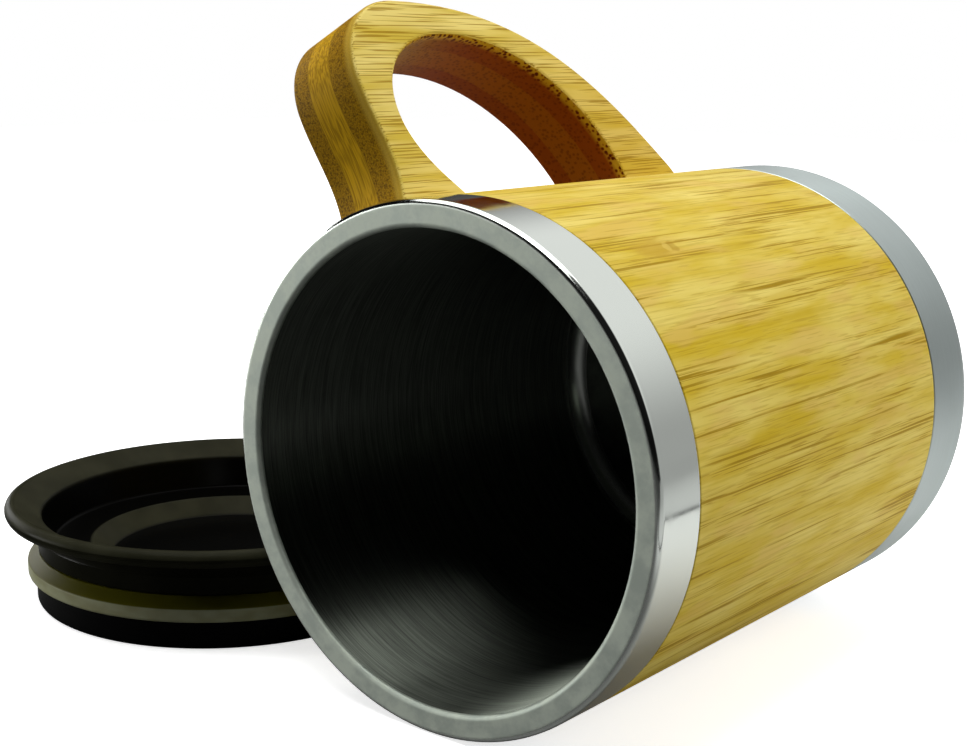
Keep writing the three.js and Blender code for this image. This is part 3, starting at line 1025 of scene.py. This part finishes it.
def plug_plastic():
    """Black moulded plastic."""
    n = Nodes.of_material("plug plastic")
    skin = n.clouds(n.place(), PLUG_SKIN, detail=2)
    return n.surface(
        Base_Color=PLUG_BLACK,
        Roughness=n.ramp(skin, *PLUG_ROUGH_STEP, *PLUG_ROUGH),
        Specular_IOR_Level=PLUG_SHINE,
        Normal=n.bump(skin, *SKIN_RELIEF),
    )


def silicone():
    """Milky silicone, and a darker yellow where it faces up, a painted shade from the flange above."""
    n = Nodes.of_material("silicone")
    cloud = n.streaks(n.place(), MILK_SIZE, detail=2)
    facing_up = n.ramp(n.part(n.normal(), "Z"), *SEAL_TOP_STEP)
    milky = n.mix(n.ramp(cloud, *MILK_STEP), MILK_DARK, MILK)
    return n.surface(
        Base_Color=n.mix(facing_up, milky, SEAL_SHADED_YELLOW),
        Roughness=SEAL_ROUGHNESS,
        Subsurface_Weight=SEAL_DEPTH_SHARE,
        Subsurface_Radius=SEAL_DEPTH_BY_COLOUR,
        Subsurface_Scale=SEAL_DEPTH,
        Specular_IOR_Level=SEAL_SHINE,
        Normal=n.bump(cloud, *SKIN_RELIEF),
    )


# Finished pieces

# The liner's tint is far darker than steel: a painted shade for the dim inside of the bore
LINER_FINISH_AND_SHADE = {"tint": (0.135, 0.15, 0.125), "roughness": 0.5, "streaks": 0.4}
BASE_FINISH = {"tint": (0.49, 0.55, 0.535), "roughness": 0.42, "streaks": 0.03, "stretch": 0.4}
SHELL_FINISH = {"tint": (0.5, 0.51, 0.5), "roughness": 0.36, "streaks": 0.1}
SCREW_FINISH = {"tint": (0.5, 0.5, 0.46), "roughness": 0.35, "streaks": 0.1}


def dress(piece, body, node, material):
    """The piece stands for a node, rides on its body and takes its finish."""
    piece.data.materials.append(material)
    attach(piece, body)
    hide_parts(node)


def paint(node, material):
    """A finish for a node that stays as it is."""
    data = frame["nodes"][node].data
    data.materials.clear()
    data.materials.append(material)


liner_steel_in_shade = brushed_steel("liner steel in painted shade", **LINER_FINISH_AND_SHADE, bright=floor_corner)
base_steel = brushed_steel("base steel", **BASE_FINISH)
shell_steel = brushed_steel("shell steel", **SHELL_FINISH)
screw_steel = brushed_steel("screw steel", **SCREW_FINISH)
dress(rim_collar(), "cup", "rim_collar", polished_steel())
dress(inner_liner(), "cup", "inner_liner", liner_steel_in_shade)
dress(bamboo_sleeve(), "cup", "bamboo_sleeve", sleeve_bamboo())
dress(base_cap(), "cup", "base_cap", base_steel)
dress(handle(), "cup", "handle", handle_bamboo())
dress(lid_dish(), "lid", "lid_dish", lid_plastic())
dress(lid_seal(), "lid", "lid_seal", silicone())
dress(lid_plug(), "lid", "lid_plug", plug_plastic())
paint("outer_shell", shell_steel)
paint("handle_screw_front", screw_steel)
paint("handle_screw_rear", screw_steel)


# Studio

WHITE, BLACK = colour(1, 1, 1), colour(0, 0, 0)

# Floor. To rays other than the camera's it is white behind the cup and to its right, and dim in front.
FLOOR_HALF = 1.7
FLOOR_WHITE = colour(0.95, 0.95, 0.95)
FLOOR_FRONT = 0.13
FLOOR_BEHIND_STEP = (-0.08, 0.05)
FLOOR_RIGHT_STEP = (0.1, 0.2)
FLOOR_RIGHT_FRONT_STEP = (-0.2, -0.08)
# Light of its own, by the distance from the middle: to the camera it hides all but the nearest shadow
CAMERA_LIFT_STEP = (0.12, 0.35)
CAMERA_LIFT = (0.7, 1.0)
MIRROR_LIFT_STEP = (0.2, 0.6)
MIRROR_LIFT = (0.0, 0.75)
MIRROR_DIM = 0.15
# Mirrored in the steel, the table ends in X with a dark line, and beyond it the room is grey
TABLE_EDGE = 0.17
TABLE_EDGE_STEP = (TABLE_EDGE - 0.004, TABLE_EDGE)
BEYOND_STEP = (TABLE_EDGE + 0.002, TABLE_EDGE + 0.008)
BEYOND_FADE_STEP = (TABLE_EDGE, 0.4)
BEYOND_FADE = (0.65, 0.4)

# Room, by the parts of a direction: a backdrop behind in Y, shaded on the left in X and low in Z
BACKDROP_STEP = (0.1, 0.5)
BACKDROP = (0.01, 0.9)
LEFT_STEP = (-0.75, -0.25)
LEFT_SHADE = (0.05, 1.0)
LOW_STEP = (0.1, 0.55)
LOW_SHADE = (0.46, 1.0)
HORIZON_STEP = (-0.05, -0.03)

# Lamps: name, place, target, size, power, and whether steel mirrors them
LAMPS = [
    ("top", (-0.2, 0.0, 0.75), (-0.2, 0, 0), (0.9, 0.9), 4.9, True),
    ("mouth", (-0.02, -0.2, 0.75), (0, 0, 0), (0.4, 0.36), 1.7, True),
    ("right", (0.85, 0.25, 0.45), (0, 0, 0.05), (0.6, 0.6), 2.6, False),
    ("front", (-0.75, -0.5, 0.16), (0, 0, 0.05), (0.26, 0.18), 3.2, True),
    ("left", (-0.9, 0.05, 0.22), (-0.05, 0, 0.02), (0.5, 0.3), 2.2, True),
]


def camera_rays(n):
    """1 for rays straight from the camera."""
    return n.add("ShaderNodeLightPath").outputs["Is Camera Ray"]


def mirrored_rays(n):
    """1 for mirrored and refracted rays."""
    path = n.add("ShaderNodeLightPath").outputs
    return n.most(path["Is Glossy Ray"], path["Is Transmission Ray"])


def floor_light(n, place, seen, mirrored, beyond):
    """Light of the floor's own: to the camera, and mirrored on the table and beyond its edge."""
    across, away = n.part(place, "X"), n.length(place)
    to_camera = n.times(n.ramp(away, *CAMERA_LIFT_STEP, *CAMERA_LIFT), seen)
    on_table = n.times(n.ramp(away, *MIRROR_LIFT_STEP, *MIRROR_LIFT), mirrored)
    fade = n.ramp(across, *BEYOND_FADE_STEP, *BEYOND_FADE)
    grey = n.times(n.ramp(across, *BEYOND_STEP), fade)
    return n.math("ADD", to_camera, n.blend(beyond, on_table, grey))


def white_floor():
    """White with the object's shadow to the camera; dimmer to other rays, in front most of all."""
    n = Nodes.of_material("white floor")
    place = n.place()
    across, along = n.part(place, "X"), n.part(place, "Y")
    seen, mirrored = camera_rays(n), mirrored_rays(n)
    right = n.times(n.ramp(across, *FLOOR_RIGHT_STEP), n.ramp(along, *FLOOR_RIGHT_FRONT_STEP))
    bright = n.most(n.ramp(along, *FLOOR_BEHIND_STEP), right)
    lit = n.most(seen, n.blend(bright, FLOOR_FRONT, 1.0))
    beyond = n.times(n.ramp(across, *TABLE_EDGE_STEP), mirrored)
    dimmed = n.most(beyond, n.times(mirrored, MIRROR_DIM))
    return n.surface(
        Base_Color=n.mix(n.times(lit, n.other(dimmed)), BLACK, FLOOR_WHITE),
        Roughness=1.0,
        Specular_IOR_Level=0.0,
        Emission_Color=WHITE,
        Emission_Strength=n.times(floor_light(n, place, seen, mirrored, beyond), lit),
    )


def floor():
    half = FLOOR_HALF
    corners = [(-half, -half, 0), (half, -half, 0), (half, half, 0), (-half, half, 0)]
    data = bpy.data.meshes.new("floor")
    data.from_pydata(corners, [], [(0, 1, 2, 3)])
    data.materials.append(white_floor())
    made = bpy.data.objects.new("floor", data)
    bpy.context.scene.collection.objects.link(made)


def world():
    """White to the camera; other rays see a backdrop behind the cup, and a dark room in front."""
    made = bpy.data.worlds.new("studio")
    bpy.context.scene.world = made
    n = Nodes(made)
    background = n.tree.nodes["Background"]
    direction = n.add("ShaderNodeTexCoord").outputs["Generated"]
    height = n.part(direction, "Z")
    above = n.times(n.ramp(height, *LOW_STEP, *LOW_SHADE), n.ramp(height, *HORIZON_STEP))
    behind = n.ramp(n.part(direction, "Y"), *BACKDROP_STEP, *BACKDROP)
    shaded = n.times(behind, n.ramp(n.part(direction, "X"), *LEFT_STEP, *LEFT_SHADE))
    n.put(background.inputs["Color"], WHITE)
    n.put(background.inputs["Strength"], n.most(n.times(shaded, above), camera_rays(n)))


def softbox(name, place, target, size, power, mirrored):
    data = bpy.data.lights.new(name, "AREA")
    data.shape = "RECTANGLE"
    data.size, data.size_y = size
    data.energy = power
    lamp = bpy.data.objects.new(name, data)
    lamp.location = place
    lamp.visible_glossy = mirrored
    lamp.rotation_euler = (Vector(target) - Vector(place)).to_track_quat("-Z", "Y").to_euler()
    bpy.context.scene.collection.objects.link(lamp)


def camera():
    data = bpy.data.cameras.new("camera")
    data.lens = LENS
    data.sensor_width = SENSOR_WIDTH
    made = bpy.data.objects.new("camera", data)
    rim = Vector((axis_middle.x, collar_low.y))
    made.matrix_world = (
        Matrix.Translation((*(rim + CAMERA_FROM_RIM), CAMERA_HEIGHT))
        @ Matrix.Rotation(CAMERA_TURN, 4, "Z")
        @ Matrix.Rotation(QUARTER_TURN - CAMERA_DOWN, 4, "X")
        @ Matrix.Rotation(CAMERA_ROLL, 4, "Z")
    )
    bpy.context.scene.collection.objects.link(made)
    bpy.context.scene.camera = made


floor()
world()
for lamp_values in LAMPS:
    softbox(*lamp_values)
camera()
bpy.context.scene.view_settings.view_transform = "Standard"
